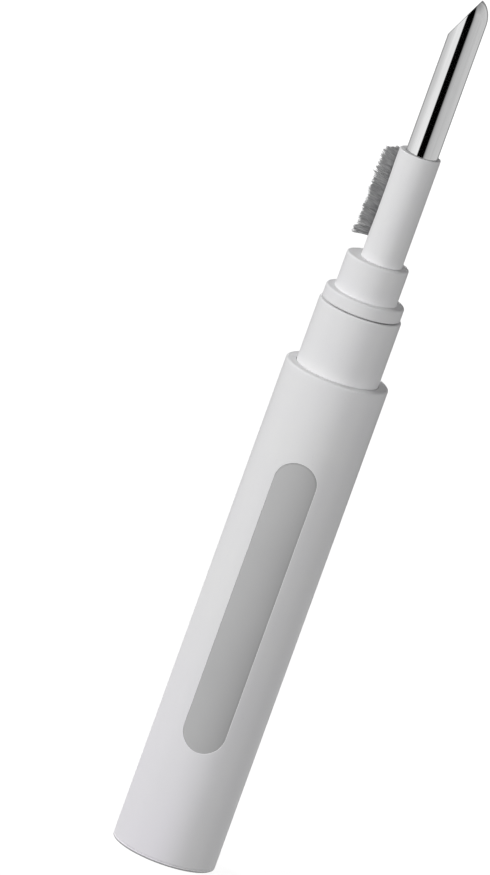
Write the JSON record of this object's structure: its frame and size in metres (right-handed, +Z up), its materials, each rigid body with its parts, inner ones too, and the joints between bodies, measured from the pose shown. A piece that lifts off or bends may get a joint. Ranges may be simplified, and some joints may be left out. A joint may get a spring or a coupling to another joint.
{
  "type": "lens cleaning pen",
  "caption": "Slim round cleaning pen: a barrel with a grip inlay and a neck, and a pull-out double-ended insert with a brush and metal tip above and a flocked sponge inside the barrel.",
  "frame": {"origin": "centre of the flat base, at the bottom of the end cap", "axes": "+Z up the barrel's axis to the metal tip; -Y faces the grip inlay"},
  "size_m": [0.015, 0.015, 0.1297],
  "materials": {
    "white_plastic": "satin moulded",
    "grip_pad": "smooth matt",
    "adhesive": "thin film",
    "polished_steel": "polished",
    "bristle_nylon": "fine fibres",
    "flocked_foam": "short velvet flock"
  },
  "bodies": {
    "barrel": {"barrel_shell": "white_plastic", "end_cap": "white_plastic", "neck_sleeve": "white_plastic", "grip_inlay": "grip_pad", "inlay_tape": "adhesive"},
    "insert": {"collar": "white_plastic", "brush_shaft": "white_plastic", "metal_tip": "polished_steel", "brush_base": "bristle_nylon", "sponge_stem": "white_plastic", "sponge": "flocked_foam", "tuft_a1": "bristle_nylon", "tuft_a2": "bristle_nylon", "tuft_a3": "bristle_nylon", "tuft_a4": "bristle_nylon", "tuft_a5": "bristle_nylon", "tuft_a6": "bristle_nylon", "tuft_a7": "bristle_nylon", "tuft_a8": "bristle_nylon", "tuft_a9": "bristle_nylon", "tuft_b1": "bristle_nylon", "tuft_b2": "bristle_nylon", "tuft_b3": "bristle_nylon", "tuft_b4": "bristle_nylon", "tuft_b5": "bristle_nylon", "tuft_b6": "bristle_nylon", "tuft_b7": "bristle_nylon", "tuft_b8": "bristle_nylon", "tuft_b9": "bristle_nylon"}
  },
  "joints": [
    {"name": "insert_slide", "type": "slide", "parent": "barrel", "child": "insert", "axis": [0, 0, 1], "range_m": [0, 0.046], "deforming": ["sponge"]}
  ]
}
